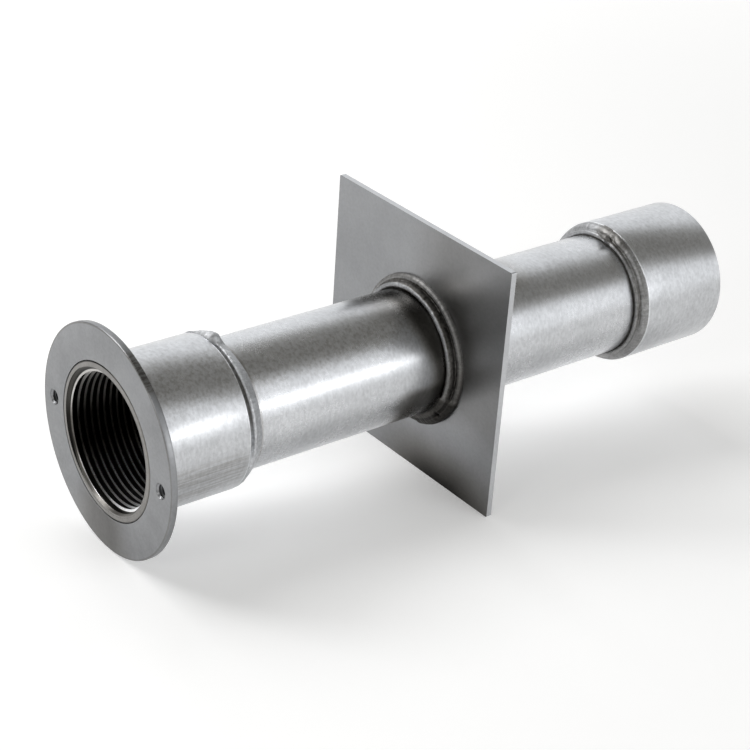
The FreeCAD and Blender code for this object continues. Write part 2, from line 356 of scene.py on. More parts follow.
def degrees_from(angle):
    """How far each of a bead's columns is from an angle, between -180 and 180 degrees."""
    return (BEAD_DEGREES - angle + 180) % 360 - 180


def share_within(span, fade):
    """1 within a span of angles, 0 outside it, and a soft fade between, all in degrees."""
    half_span = (span[1] - span[0]) / 2
    if not half_span:
        return 0 * BEAD_DEGREES
    beyond = np.abs(degrees_from(sum(span) / 2)) - half_span
    share = np.clip(0.5 - beyond / fade, 0, 1)
    return share ** 2 * (3 - 2 * share)


def outline_from(radius, along, steps):
    """An outline's points, each given by its steps outwards and along from one corner."""
    return [(radius + out, along + on) for out, on in steps]


# %% [markdown]
# The builder blends two outlines as it goes round the pipe. It moves the blend along its own normals, by
# slow waves, quick waves, fine ripples and lumps, and closes the ring with a hidden corner in the joint.
# The bead's two toes stay on the steel: the move falls to nothing there, and they only wander along it.

# %% Bead builder
def bead(name, outline, root, seed, lumps=(), waviness=0.12, calm=None, calm_span=(0, 0), fade=14):
    """A weld bead from its outline (radius, along) and the hidden corner that closes it. A lump is
    (angle, degrees below, degrees above, share across, half share, height). Within the calm span, two
    angles in degrees, the bead takes a second outline with as many points."""
    outline, calm = round_off(outline), round_off(outline if calm is None else calm)
    share_calm = share_within(calm_span, fade)
    shape = outline[:, :, None] * (1 - share_calm) + calm[:, :, None] * share_calm
    lean = np.gradient(shape, axis=0)
    normal = np.stack([lean[:, 1], -lean[:, 0]], 1)
    normal /= np.linalg.norm(normal, axis=1)[:, None]
    normal *= np.sign(np.einsum("rka,k->", normal, outline.mean(0) - root))

    across = np.linspace(0, 1, len(outline))[:, None]
    free = np.sin(across * math.pi) ** 0.5
    slow, quick = wander(seed, (2, 3, 5, 7), waviness), wander(seed + 1, range(11, 40, 4), waviness / 2)
    swell = free * (slow + quick + wander(seed + 3, range(60, 110, 7), RIPPLE))
    raised, sunk = 0 * swell, 0 * swell
    for angle, below, above, share, half_share, height in lumps:
        reach_round = hump(degrees_from(angle), below, above)
        lump = height * reach_round * hump(across - share, half_share, half_share)
        raised, sunk = np.maximum(raised, lump), np.minimum(sunk, lump)
    swell = swell + raised + sunk

    radius = shape[:, 0] + normal[:, 0] * swell
    along = shape[:, 1] + normal[:, 1] * swell + (1 - free) * wander(seed + 2, (3, 5, 8, 13), waviness)
    radius = np.concatenate([radius, np.full((1, radius.shape[1]), root[0])])
    along = np.concatenate([along, np.full((1, radius.shape[1]), root[1])])
    points = round_points(radius, along, BEAD_ANGLES)
    return make_mesh(name, points, grid_faces(len(radius), BEAD_COLUMNS), sharp=50)


# %% [markdown]
# The front socket's bead joins the socket's rear end to the pipe. A start lump lies across the joint at the
# top, like a tongue. Below it a dark crevice runs beside the socket, and lower down the bead fills the
# corner. Two outlines show this: one with a ridge and a crevice, and a filled one for the calm span. The
# tongue is a row of nine small lumps, because one long lump could not lean across the bead.

# %% The front socket's bead
FRONT_TOE_REACH = 6.3
front_toe = socket_length + FRONT_TOE_REACH
creviced = outline_from(pipe_radius, front_toe, [
    (0, 0), (0.7, -0.3), (1.9, -1.9), (2.7, -3.2), (3.3, -4.0), (3.3, -4.7), (1.8, -5.0), (1.7, -5.6),
    (2.8, -6.2), (3.5, -6.3),
])
filled = outline_from(pipe_radius, front_toe, [
    (0, 0), (0.6, -0.3), (1.5, -1.6), (2.3, -2.9), (3.1, -4.0), (3.6, -4.8), (3.8, -5.3), (3.8, -5.7),
    (3.8, -6.1), (3.7, -6.3),
])
tongue = [
    (112 - 22 * t, 8 - 2 * t, 12, 0.88 - 0.42 * t, 0.42, 0.8 + 1.4 * t)
    for t in np.linspace(0, 1, 9)
]
front_bead = bead(
    "front_socket_bead", creviced, np.array([pipe_radius, socket_length]), seed=11,
    lumps=[*tongue, (60, 10, 16, 0.45, 0.3, 0.25), (30, 12, 10, 0.35, 0.3, 0.2)],
    calm=filled, calm_span=(108, 352), fade=40,
)
print(f"front socket's bead: {len(front_bead.polygons)} faces")

# %% [markdown]
# The plate is held by a bead on each side. The front one has two passes with a valley between them, and
# they end low down in one smooth nugget with a small crater. The rear one is a plain fillet with one
# lump where it was stopped, because the picture can't show it.

# %% The plate's beads
two_passes = outline_from(pipe_radius, plate_front, [
    (0, -3.9), (0.9, -4.6), (1.9, -4.1), (2.4, -3.0), (2.3, -2.2), (2.1, -1.6), (2.8, -1.6), (3.7, -1.6),
    (4.4, -1.0), (4.5, 0),
])
nugget = outline_from(pipe_radius, plate_front, [
    (0, -4.9), (0.5, -4.4), (1.2, -3.8), (2.0, -3.3), (2.9, -2.8), (3.7, -2.3), (4.3, -1.7), (4.7, -1.1),
    (4.8, -0.5), (4.7, 0),
])
plate_bead = bead(
    "plate_front_bead", two_passes, np.array([pipe_radius, plate_front]), seed=23,
    lumps=[
        (-46, 24, 18, 0.45, 0.5, 0.8), (-41, 3, 3, 0.42, 0.1, -0.9), (25, 20, 20, 0.25, 0.2, 0.15),
        (75, 30, 20, 0.2, 0.2, 0.2),
    ],
    waviness=0.14, calm=nugget, calm_span=(-76, -22), fade=7,
)
PLAIN_FILLET = [(0, 3), (0.9, 2.3), (2.3, 0.9), (3, 0)]
back_bead = bead(
    "plate_back_bead", outline_from(pipe_radius, plate_back, PLAIN_FILLET),
    np.array([pipe_radius, plate_back]), seed=37, lumps=[(200, 10, 10, 0.5, 0.5, 0.6)],
)
print(f"plate's beads: {len(plate_bead.polygons)} and {len(back_bead.polygons)} faces")

# %% [markdown]
# The rear socket's bead slopes up from the pipe to the socket's edge, with a low ridge in front of the
# slope and lumps near the top. The flange's bead is hidden behind the ring, so it is a plain fillet.

# %% The rear socket's bead and the flange's
REAR_TOE_REACH = 3.5
rear_toe = total_length - socket_length - REAR_TOE_REACH
slope = outline_from(pipe_radius, rear_toe, [
    (0, 0), (0.9, -0.4), (1.6, 0.1), (1.6, 0.8), (1.5, 1.3), (2.4, 1.6), (3.3, 2.4),
])
rear_bead = bead(
    "rear_socket_bead", [*slope, (socket_radius - 0.05, rear_toe + 3.9)],
    np.array([pipe_radius, rear_toe + REAR_TOE_REACH]), seed=41,
    lumps=[
        (82, 6, 9, 0.3, 0.3, 1.2), (70, 8, 5, 0.7, 0.3, 0.22), (88, 6, 12, 0.8, 0.3, 0.3),
        (77, 2, 2, 0.75, 0.2, -0.3),
    ],
)
flange_bead = bead(
    "flange_bead", outline_from(socket_radius, flange_thickness, PLAIN_FILLET),
    np.array([socket_radius, flange_thickness]), seed=53, lumps=[(250, 9, 9, 0.5, 0.5, 0.6)],
)
print(f"rear socket's bead: {len(rear_bead.polygons)} faces, flange's: {len(flange_bead.polygons)}")

# %% [markdown]
# ## The pipe
# The pipe is a plain drawn tube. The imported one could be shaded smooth, but its facets bend a long
# highlight, so a tube of the same size with more columns stands for it.

# %% Fine tube
PIPE_WALL = 1.5
TUBE_COLUMNS = 257
tube_start, tube_end = (corner_mm("pipe", side)[1] for side in (0, 1))
bore_radius = pipe_radius - PIPE_WALL
tube_outline = soft_outline([
    (bore_radius, tube_start, 0.1), (bore_radius, tube_end, 0.1),
    (pipe_radius, tube_end, 0.1), (pipe_radius, tube_start, 0.1),
])
tube_angles = np.linspace(0, TURN, TUBE_COLUMNS)
tube_points = round_points(tube_outline[:, :1], tube_outline[:, 1:], tube_angles)
tube = make_mesh("drawn_pipe", tube_points, grid_faces(len(tube_outline), TUBE_COLUMNS))
print(f"pipe: {tube_end - tube_start:.2f} mm long, {len(tube.polygons)} faces")

# %% [markdown]
# ## Materials
# Everything is stainless steel, pickled to a soft satin. What differs from piece to piece is how light it
# is and its grain: the pipe and the sockets have fine marks that run round from turning and brushing, the
# flange coarser ones, and the sheet has an even, rolled surface.
# Finishes could be painted as pictures. Here they are worked out by nodes from the place on the sleeve, so
# they are sharp at any size. Four helpers keep the node trees short enough to read like sums.

# %% Node helpers
def add_node(tree, kind, values=None, **settings):
    """Adds a node. A value may be a plain number or another node's output."""
    made = tree.nodes.new(kind)
    for key, value in settings.items():
        setattr(made, key, value)
    for key, value in (values or {}).items():
        if isinstance(value, bpy.types.NodeSocket):
            tree.links.new(value, made.inputs[key])
        else:
            made.inputs[key].default_value = value
    return made


def sums(tree, operation, first, second=0.0, third=0.0):
    """One Math node's output."""
    values = {0: first, 1: second, 2: third}
    return add_node(tree, "ShaderNodeMath", values, operation=operation).outputs[0]


def step_between(tree, value, low, high, start=0.0, end=1.0):
    """A smooth rise from start to end as a value goes from low to high."""
    values = {0: value, 1: low, 2: high, 3: start, 4: end}
    return add_node(tree, "ShaderNodeMapRange", values, interpolation_type="SMOOTHSTEP").outputs[0]


def noise(tree, vector, scale, detail=4.0, roughness=0.6):
    """A cloudy value between 0 and 1."""
    values = {"Vector": vector, "Scale": scale, "Detail": detail, "Roughness": roughness}
    return add_node(tree, "ShaderNodeTexNoise", values, noise_dimensions="3D").outputs["Fac"]


# %% [markdown]
# Marks that lie at one place of the sleeve are masks: a band of radius, one along the pipe and one of
# angle, multiplied. A mask then darkens the steel by its own amount.

# %% Masks
def product(tree, *values):
    """The product of several masks."""
    result = values[0]
    for value in values[1:]:
        result = sums(tree, "MULTIPLY", result, value)
    return result


def between(tree, value, low, high, soft):
    """1 between two places and 0 outside them, with soft borders."""
    rise = step_between(tree, value, low - soft, low + soft)
    return product(tree, rise, step_between(tree, value, high - soft, high + soft, 1.0, 0.0))


def darken(tree, mask, amount):
    """A factor that falls from 1 by an amount where a mask is 1."""
    return sums(tree, "MULTIPLY_ADD", mask, -amount, 1.0)


# %% [markdown]
# ## Shared effects
# An effect that several steels need is a node group with named inputs and outputs. It is built once, and
# each steel places it with its own values.
# The grain is noise whose coordinates change slowly round the pipe and quickly along it, so it turns into
# fine lines that run round. The mottle is what pickling leaves: wide clouds, fine specks and small pits.

# %% Grain and mottle
def new_group(name, inputs, outputs):
    """An empty shader node group with named number inputs and outputs."""
    group = bpy.data.node_groups.new(name, "ShaderNodeTree")
    for label, value in inputs.items():
        socket = group.interface.new_socket(label, in_out="INPUT", socket_type="NodeSocketFloat")
        socket.default_value = value
    for label in outputs:
        group.interface.new_socket(label, in_out="OUTPUT", socket_type="NodeSocketFloat")
    return group, group.nodes.new("NodeGroupInput").outputs, group.nodes.new("NodeGroupOutput").inputs


def place_parts(tree):
    """Where a point of the surface is, in metres across, along and up."""
    vector = add_node(tree, "ShaderNodeTexCoord").outputs["Object"]
    return add_node(tree, "ShaderNodeSeparateXYZ", {0: vector}).outputs


grain_group, given, result = new_group(
    "sleeve_grain", {"Round scale": 3.0, "Along scale": 400.0, "Seed": 0.0}, ["Grain"])
across, along, up = place_parts(grain_group)
turn = sums(grain_group, "ARCTAN2", up, across)
round_scale = given["Round scale"]
squeezed = add_node(grain_group, "ShaderNodeCombineXYZ", {
    0: sums(grain_group, "MULTIPLY", sums(grain_group, "COSINE", turn), round_scale),
    1: sums(grain_group, "MULTIPLY", along, given["Along scale"]),
    2: sums(grain_group, "MULTIPLY_ADD", sums(grain_group, "SINE", turn), round_scale, given["Seed"]),
}).outputs[0]
grain_group.links.new(noise(grain_group, squeezed, 1.0), result["Grain"])

mottle_group, given, result = new_group(
    "pickled_mottle", {"Cloud scale": 60.0, "Speck scale": 800.0}, ["Cloud", "Specks", "Pits"])
vector = add_node(mottle_group, "ShaderNodeTexCoord").outputs["Object"]
mottle_group.links.new(noise(mottle_group, vector, given["Cloud scale"]), result["Cloud"])
specks = noise(mottle_group, vector, given["Speck scale"], detail=2.0)
mottle_group.links.new(specks, result["Specks"])
pit_scale = sums(mottle_group, "MULTIPLY", given["Speck scale"], 1.7)
pits = noise(mottle_group, vector, pit_scale, detail=1.0, roughness=0.5)
mottle_group.links.new(step_between(mottle_group, pits, 0.62, 0.72), result["Pits"])
print("groups:", grain_group.name, mottle_group.name)

# %% [markdown]
# Marks need to know where they are on the sleeve. This group gives the radius, the place along the pipe,
# the angle round it, the distance from the nearer end, and the place across and up. Lengths come out in
# millimetres and the angle in degrees: 0 is to the right, 90 is up, and -90 is down.
# The dull spots are small places that the pickling left matt. They lie on the upper right of the pipe and
# both sockets, thickest near the front.

# %% Place on the sleeve, and dull spots
def in_mm(tree, metres):
    """A length in millimetres."""
    return sums(tree, "MULTIPLY", metres, 1 / MM)


place_group, given, result = new_group(
    "place_on_sleeve", {}, ["Radius", "Along", "Angle", "From end", "Across", "Up"])
across, along, up = place_parts(place_group)
square = sums(place_group, "ADD", *(sums(place_group, "MULTIPLY", part, part) for part in (across, up)))
from_rear = sums(place_group, "SUBTRACT", total_length * MM, along)
for label, value in (
    ("Radius", in_mm(place_group, sums(place_group, "SQRT", square))),
    ("Along", in_mm(place_group, along)),
    ("Across", in_mm(place_group, across)),
    ("Up", in_mm(place_group, up)),
    ("Angle", sums(place_group, "DEGREES", sums(place_group, "ARCTAN2", up, across))),
    ("From end", in_mm(place_group, sums(place_group, "MINIMUM", along, from_rear))),
):
    place_group.links.new(value, result[label])

spots_group, given, result = new_group(
    "dull_spots", {"Radius": 0.0, "Along": 0.0, "Angle": 0.0, "Specks": 0.5}, ["Spots"])
spots = product(
    spots_group,
    between(spots_group, given["Angle"], 40, 76, 12),
    between(spots_group, given["Radius"], pipe_radius - 0.2, socket_radius + 0.2, 0.2),
    between(spots_group, given["Along"], 3, 234, 3),
    step_between(spots_group, given["Specks"], 0.4, 0.75),
    step_between(spots_group, given["Along"], 95, 150, 1.0, 0.35),
)
spots_group.links.new(spots, result["Spots"])
print("groups:", place_group.name, spots_group.name)

# %% [markdown]
# ## The satin steel
# Every piece has this steel with its own values. Clouds, specks, pits and grain make it a little lighter
# or darker, and where it is darker it is rougher too. The specks and the grain give a bump, from a few
# thousandths of a millimetre on the pipe to a few hundredths on the beads. Marks, painted shade and
# painted highlights change the shade further: where one is dark the steel is warmer, like scale and dirt,
# also where the dark is painted shade, and elsewhere it is a little blue.
# The Principled shader stays in the material itself, because an export can't read a shader in a group.

# %% Satin steel, used by every piece with its own values
STEEL_TINT = (0.98, 0.997, 1.025)
# Warmth where marks and painted shade darken the steel.
WARMTH_WHERE_DARKENED = (0.08, 0.0, -0.12)
GLOSS_OF_LIGHT_SPOTS = 0.16


def satin_steel(name, marks=None, *, shade, rough, cloud, specks, pits, grain, round_scale, along_scale,
                bump, seed, cloud_scale=60.0):
    """A pickled stainless material. Marks is a function giving a factor on the shade: marks and painted
    light.
    """
    material = bpy.data.materials.new(name)
    material.use_nodes = True
    tree = material.node_tree
    tree.nodes.clear()
    output = add_node(tree, "ShaderNodeOutputMaterial")
    shader = add_node(tree, "ShaderNodeBsdfPrincipled", {"Metallic": 1.0})
    tree.links.new(shader.outputs[0], output.inputs[0])
    clouds = {"Cloud scale": cloud_scale}
    mottle = add_node(tree, "ShaderNodeGroup", clouds, node_tree=mottle_group).outputs
    scales = {"Round scale": round_scale, "Along scale": along_scale, "Seed": seed}
    lines = add_node(tree, "ShaderNodeGroup", scales, node_tree=grain_group).outputs["Grain"]

    cloud_part = step_between(tree, mottle["Cloud"], 0.3, 0.7, -cloud, cloud)
    speck_part = step_between(tree, mottle["Specks"], 0.3, 0.7, specks, -specks)
    pit_part = sums(tree, "MULTIPLY", mottle["Pits"], -pits)
    grain_part = step_between(tree, lines, 0.3, 0.7, -grain, grain)
    blemish = sums(tree, "ADD", cloud_part, sums(tree, "ADD", speck_part, pit_part))
    value = sums(tree, "MULTIPLY_ADD", sums(tree, "ADD", blemish, grain_part), shade, shade)
    mark = 1.0
    if marks:
        place = add_node(tree, "ShaderNodeGroup", node_tree=place_group).outputs
        mark = marks(tree, place, mottle["Specks"])
        value = product(tree, value, mark)
    mark_and_shade_factor = sums(tree, "MINIMUM", mark, 1.0)
    colour = add_node(tree, "ShaderNodeCombineColor", {
        number: sums(tree, "MULTIPLY", value, sums(tree, "MULTIPLY_ADD", mark_and_shade_factor, -warmth, tint + warmth))
        for number, (tint, warmth) in enumerate(zip(STEEL_TINT, WARMTH_WHERE_DARKENED))
    })
    tree.links.new(colour.outputs[0], shader.inputs["Base Color"])
    roughness = sums(tree, "MULTIPLY_ADD", blemish, -GLOSS_OF_LIGHT_SPOTS, rough)
    tree.links.new(roughness, shader.inputs["Roughness"])
    height = sums(tree, "MULTIPLY_ADD", lines, 0.5, mottle["Specks"])
    bumped = add_node(tree, "ShaderNodeBump", {"Strength": 1.0, "Distance": bump * MM, "Height": height})
    tree.links.new(bumped.outputs[0], shader.inputs["Normal"])
    print(f"{name}: {len(tree.nodes)} nodes")
    return material


# %% [markdown]
# ## Marks and painted light on each piece
# Each piece has marks of its own, and some carry painted shade and painted highlights. The front socket's
# end face is darker than its side, with painted shade in the seam round it and a painted highlight on its
# inner edge, and the side is wiped along its length low on the right. The thread's grooves are painted
# dark, a painted shade that leaves the crests bright. The pipe has heat tint at the plate with painted
# shade for the plate's reflection over it, painted shade at the bead toes, and the pipe and the sockets
# carry the dull spots.

# %% Marks and painted light on the pipe, the sockets and their threads
def dull_spots(tree, place, specks):
    """The mask of the small dull spots."""
    values = {label: place[label] for label in ("Radius", "Along", "Angle")}
    group = add_node(tree, "ShaderNodeGroup", {**values, "Specks": specks}, node_tree=spots_group)
    return group.outputs["Spots"]


def socket_marks_and_painted_light(tree, place, specks):
    """A darker end face with a painted shade line round it in the seam to the flange, a painted highlight
    on the outer edge at the inner end, wiping lines low on the right, and the dull spots."""
    end_face = step_between(tree, place["Along"], 0.1, 0.5, 1.0, 0.0)
    sideways = step_between(tree, sums(tree, "ABSOLUTE", place["Angle"]), 50, 90, 0.3, 1.0)
    # Painted shade in the seam between the end face and the flange, strongest at the top and bottom.
    gap_shade = product(tree, end_face, step_between(tree, place["Radius"], 24.9, 25.2), sideways)
    # A painted highlight: the socket's outer edge at its inner end is made lighter.
    edge = product(tree, between(tree, place["From end"], 35.5, 36.2, 0.1),
                   step_between(tree, place["Radius"], 24.8, 25))
    stripes = noise(tree, add_node(tree, "ShaderNodeCombineXYZ", {
        0: sums(tree, "MULTIPLY", place["Angle"], 0.55),
        1: sums(tree, "MULTIPLY", place["Along"], 0.03),
    }).outputs[0], 1.0, detail=3.0)
    wiped = product(tree, between(tree, place["Angle"], -34, -3, 5),
                    between(tree, place["Along"], 6, 35, 2), between(tree, place["Radius"], 25, 26, 0.2),
                    step_between(tree, stripes, 0.42, 0.6))
    return product(tree, darken(tree, end_face, 0.63), darken(tree, gap_shade, 0.9), darken(tree, edge, -0.3),
                   darken(tree, wiped, 0.24), darken(tree, dull_spots(tree, place, specks), 0.24))


def thread_painted_shade(tree, place, specks):
    """Painted shade in the grooves that leaves only the crests bright, lighter on the first flank at the
    upper left, painted shadow over the thread at the top and on the left, and painted shade in the mouth.
    """
    crest = PIPE_THREAD["crest"]
    bore = sums(tree, "MAXIMUM", sums(tree, "SUBTRACT", MOUTH_RADIUS, place["From end"]), crest)
    # Painted shade in the thread's grooves.
    groove = step_between(tree, sums(tree, "SUBTRACT", place["Radius"], bore), 0.07, 0.2)
    # Painted shade on the mouth's chamfer.
    mouth = product(tree, step_between(tree, place["Radius"], crest + 0.05, crest + 0.2),
                    step_between(tree, place["From end"], 0.9, 1.3, 1.0, 0.0))
    turned = sums(tree, "MODULO", sums(tree, "ADD", place["Angle"], 360), 360)
    first_flank = product(tree, step_between(tree, place["From end"], 0.6, 1.1, 1.0, 0.0),
                          between(tree, turned, 92, 205, 14))
    groove = product(tree, groove, darken(tree, first_flank, 0.45))
    # Painted shadow across the thread on the left and at the top.
    left = between(tree, turned, 172, 222, 16)
    top = between(tree, turned, 60, 172, 20)
    return product(tree, darken(tree, groove, 0.97), darken(tree, left, 0.88), darken(tree, top, 0.5),
                   darken(tree, mouth, 0.8))


def pipe_tint_and_painted_shade(tree, place, specks):
    """Heat tint in front of the plate with painted shade for the plate's dark reflection over it, wider at
    the top and underneath, a painted shadow of the plate behind it, painted shade at the toes of the
    socket beads, and the dull spots."""
    front = sums(tree, "SUBTRACT", plate_front, place["Along"])
    off_plate = step_between(tree, front, 0.0, 0.5)
    # Heat tint near the plate, partly painted shade for the plate's dark reflection in the pipe.
    higher = sums(tree, "MULTIPLY", between(tree, place["Angle"], 32, 140, 27), 4.0)
    near = product(tree, off_plate,
                   step_between(tree, sums(tree, "SUBTRACT", front, higher), 5.6, 11.4, 1.0, 0.0))
    low = sums(tree, "MULTIPLY", between(tree, place["Angle"], -128, -5, 11), 7.0)
    wide = product(tree, step_between(tree, low, 1, 6), off_plate,
                   step_between(tree, front, 15, 26, 1.0, 0.0))
    top = product(tree, between(tree, place["Angle"], 66, 134, 9), off_plate,
                  step_between(tree, front, 14, 27, 1.0, 0.0))
    # Painted shadow of the plate on the top of the pipe behind it.
    behind = product(tree, between(tree, place["Angle"], 60, 136, 8),
                     step_between(tree, front, -3.5, -3.0, 1.0, 0.0), step_between(tree, front, -46, -29))
    # Painted shade in the creases at the toes of the socket beads.
    toes = sums(tree, "MAXIMUM", between(tree, place["Along"], front_toe - 0.5, front_toe + 0.7, 0.4),
                between(tree, place["Along"], rear_toe - 0.9, rear_toe + 0.3, 0.3))
    return product(tree, darken(tree, near, 0.82), darken(tree, wide, 0.65), darken(tree, top, 0.45),
                   darken(tree, behind, 0.5), darken(tree, toes, 0.25),
                   darken(tree, dull_spots(tree, place, specks), 0.24))


# %% [markdown]
# The flange's rim has a rough, dark stretch on the upper right, its face is darker low on the left, and
# the corner between rim and face is darker. The plate's sawn edges are painted bright, a painted
# highlight, and its face has painted shade low down under the pipe and on the right.

# %% Marks and painted light on the flange and the plate
def flange_marks(tree, place, specks):
    """A dark hatched stretch on the rim, a darker stretch low on the left of the face, a darker corner."""
    strokes = noise(tree, add_node(tree, "ShaderNodeCombineXYZ", {
        0: place["Angle"], 1: sums(tree, "MULTIPLY", place["Along"], 0.4),
    }).outputs[0], 0.8, detail=2.0)
    rim = product(tree, between(tree, place["Radius"], 37.1, 38, 0.1),
                  between(tree, place["Angle"], 50, 71, 3),
                  step_between(tree, strokes, 0.4, 0.6, 0.35, 1.0))
    # The face is darker low on the left.
    darker_low_left = product(tree, between(tree, place["Radius"], 25.6, 37.2, 0.5),
                   between(tree, place["Angle"], -118, -72, 14))
    edge = between(tree, place["Radius"], 36.9, 37.35, 0.15)
    return product(tree, darken(tree, rim, 0.6), darken(tree, darker_low_left, 0.42), darken(tree, edge, 0.3))


def plate_painted_light(tree, place, specks):
    """Sawn edges painted bright where the surface faces sideways, a painted highlight, and painted shade
    under the pipe and on the right of the face.
    """
    normal = add_node(tree, "ShaderNodeTexCoord").outputs["Normal"]
    along_part = add_node(tree, "ShaderNodeSeparateXYZ", {0: normal}).outputs[1]
    # A painted highlight: the edges, which face sideways, are made up to nearly twice as light.
    sideways = step_between(tree, sums(tree, "ABSOLUTE", along_part), 0.4, 0.7, 1.0, 0.0)
    on_face = step_between(tree, sideways, 0, 1, 1.0, 0.0)
    # Painted shade low on the face, under the pipe and to its right.
    shade_under_pipe = product(tree, step_between(tree, place["Up"], -46, -24, 1.0, 0.0),
                    step_between(tree, place["Across"], -22, 14),
                    step_between(tree, place["Across"], 22, 46, 1.0, 0.55), on_face)
    # Painted shade on the right side of the face.
    shaded_right_side = product(tree, step_between(tree, place["Across"], -10, 14),
                         step_between(tree, place["Up"], -24, -8), on_face)
    return product(tree, sums(tree, "MULTIPLY_ADD", sideways, 0.9, 1.0), darken(tree, shade_under_pipe, 0.96),
                   darken(tree, shaded_right_side, 0.22))


# %% [markdown]
# The beads are darkest in their toes, valleys, crevices and craters, a painted shade mottled like the
# weld's scale, and the rear bead's upper stretch holds scale that the pickling didn't reach. The bands
# follow the outlines above, so most of them are counted from the pipe's radius.

# %% Marks and painted shade on the beads
def front_bead_painted_shade(tree, place, specks):
    """Mottled painted shade in the crevice beside the socket."""
    # Painted shade in the crevice, mottled by the specks.
    crevice = product(tree, between(tree, place["Along"], socket_length - 1, socket_length + 1.7, 0.25),
                      between(tree, place["Radius"], 20, 24.4, 0.3),
                      between(tree, place["Angle"], 14, 74, 12),
                      step_between(tree, specks, 0.3, 0.65, 1.0, 0.35))
    return darken(tree, crevice, 0.6)


def plate_bead_tone_and_painted_shade(tree, place, specks):
    """Painted shade in the valley between the two passes, darkest in its upper stretch, in the crater and at
    the toe, and a darker outer pass, lower half and nugget where the passes end.
    """
    upper = between(tree, place["Angle"], 28, 92, 8)
    # Painted shade in the hollow between the passes.
    valley = product(tree, between(tree, place["Radius"], pipe_radius + 2.0, pipe_radius + 3.0, 0.2),
                     step_between(tree, specks, 0.3, 0.65, 1.0, 0.7))
    outer = step_between(tree, place["Radius"], pipe_radius + 2.8, pipe_radius + 3.6)
    last = between(tree, place["Angle"], -84, -23, 3)
    lower = between(tree, place["Angle"], -84, 12, 16)
    # Painted shade in the crater and, below, at the toe.
    crater = product(tree, between(tree, place["Angle"], -43, -39, 1),
                     between(tree, place["Radius"], pipe_radius + 1.6, pipe_radius + 3, 0.3))
    toe = between(tree, place["Radius"], pipe_radius - 1, pipe_radius + 0.5, 0.1)
    return product(tree, darken(tree, valley, 0.8), darken(tree, outer, 0.4), darken(tree, last, 0.68),
                   darken(tree, lower, 0.45), darken(tree, product(tree, valley, upper), 0.6),
                   darken(tree, crater, 0.7), darken(tree, toe, 0.6))


def rear_bead_scale_and_painted_shade(tree, place, specks):
    """Dark scale on the upper stretch, thinning out downwards, darker lumps, painted shade in the valley and
    a painted dark line at the toe, and darker towards the bottom.
    """
    scale = product(tree, between(tree, place["Angle"], -4, 92, 10),
                    step_between(tree, specks, 0.35, 0.6, 0.7, 1.0))
    # Painted shade at the toe and, below, in the valley.
    toe = between(tree, place["Radius"], 20, pipe_radius + 0.35, 0.1)
    lumps = product(tree, between(tree, place["Angle"], 62, 96, 6),
                    step_between(tree, place["Radius"], pipe_radius + 1.3, pipe_radius + 2))
    valley = product(tree, between(tree, place["Radius"], pipe_radius + 1.5, pipe_radius + 2.1, 0.2),
                     between(tree, place["Angle"], -10, 92, 12))
    below = step_between(tree, place["Angle"], -20, 10, 1.0, 0.0)
    return product(tree, darken(tree, scale, 0.25), darken(tree, lumps, 0.35), darken(tree, toe, 0.7),
                   darken(tree, valley, 0.4), darken(tree, below, 0.28))


# %% [markdown]
# ## The steels
# The values were matched to the picture one piece at a time: the flange and the plate are the darkest,
# partly as painted shade for the dark ground that their faces mirror, the pipe and the sockets are light,
# and the thread's crests are the brightest, a painted highlight. The beads share one rough, speckled
# finish and differ mostly in their shade.

# %% The steels
# The flange and the plate are made darker, partly a painted shade for the dark ground they mirror.
flange_steel = satin_steel(
    "flange_satin", flange_marks, shade=0.26, rough=0.36, cloud=0.09, specks=0.04, pits=0.05, grain=0.05,
    round_scale=4.0, along_scale=60.0, bump=0.01, seed=1.0, cloud_scale=45.0)
socket_steel = satin_steel(
    "socket_satin", socket_marks_and_painted_light, shade=0.58, rough=0.29, cloud=0.06, specks=0.05, pits=0.07, grain=0.08,
    round_scale=10.0, along_scale=900.0, bump=0.005, seed=2.0)
pipe_steel = satin_steel(
    "pipe_satin", pipe_tint_and_painted_shade, shade=0.6, rough=0.28, cloud=0.06, specks=0.04, pits=0.05, grain=0.08,
    round_scale=10.0, along_scale=900.0, bump=0.003, seed=3.0)
# The crests' steel is the lightest, a painted highlight that makes them shine in the mouth.
thread_steel = satin_steel(
    "thread_satin", thread_painted_shade, shade=1.0, rough=0.34, cloud=0.03, specks=0.05, pits=0.05, grain=0.05,
    round_scale=60.0, along_scale=200.0, bump=0.01, seed=6.0)
plate_steel = satin_steel(
    "plate_satin", plate_painted_light, shade=0.28, rough=0.33, cloud=0.04, specks=0.03, pits=0.05, grain=0.03,
    round_scale=3.0, along_scale=60.0, bump=0.008, seed=4.0)


def bead_steel(name, shade, rough=0.55, marks=None):
    """The beads' rough, speckled finish."""
    return satin_steel(
        name, marks, shade=shade, rough=rough, cloud=0.1, specks=0.16, pits=0.2, grain=0.08,
        round_scale=60.0, along_scale=200.0, bump=0.07, seed=5.0, cloud_scale=200.0)


plain_bead_steel = bead_steel("bead_satin", 0.33)
front_bead_steel = bead_steel("front_bead_satin", 0.56, marks=front_bead_painted_shade)
plate_bead_steel = bead_steel("plate_bead_satin", 0.36, marks=plate_bead_tone_and_painted_shade)
rear_bead_steel = bead_steel("rear_bead_satin", 0.42, rough=0.44, marks=rear_bead_scale_and_painted_shade)

# %% [markdown]
# ## The pieces
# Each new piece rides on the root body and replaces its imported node. A socket is one skin with two
# finishes, so its faces inside the thread's root, apart from the flat ends, take the thread's steel. The
# plate is a plain sheet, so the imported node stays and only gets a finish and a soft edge.

# %% Put the pieces in place
THREAD_EDGE = PIPE_THREAD["root"] + 0.01
FLAT_END = 0.99
PLATE_EDGE = 0.15

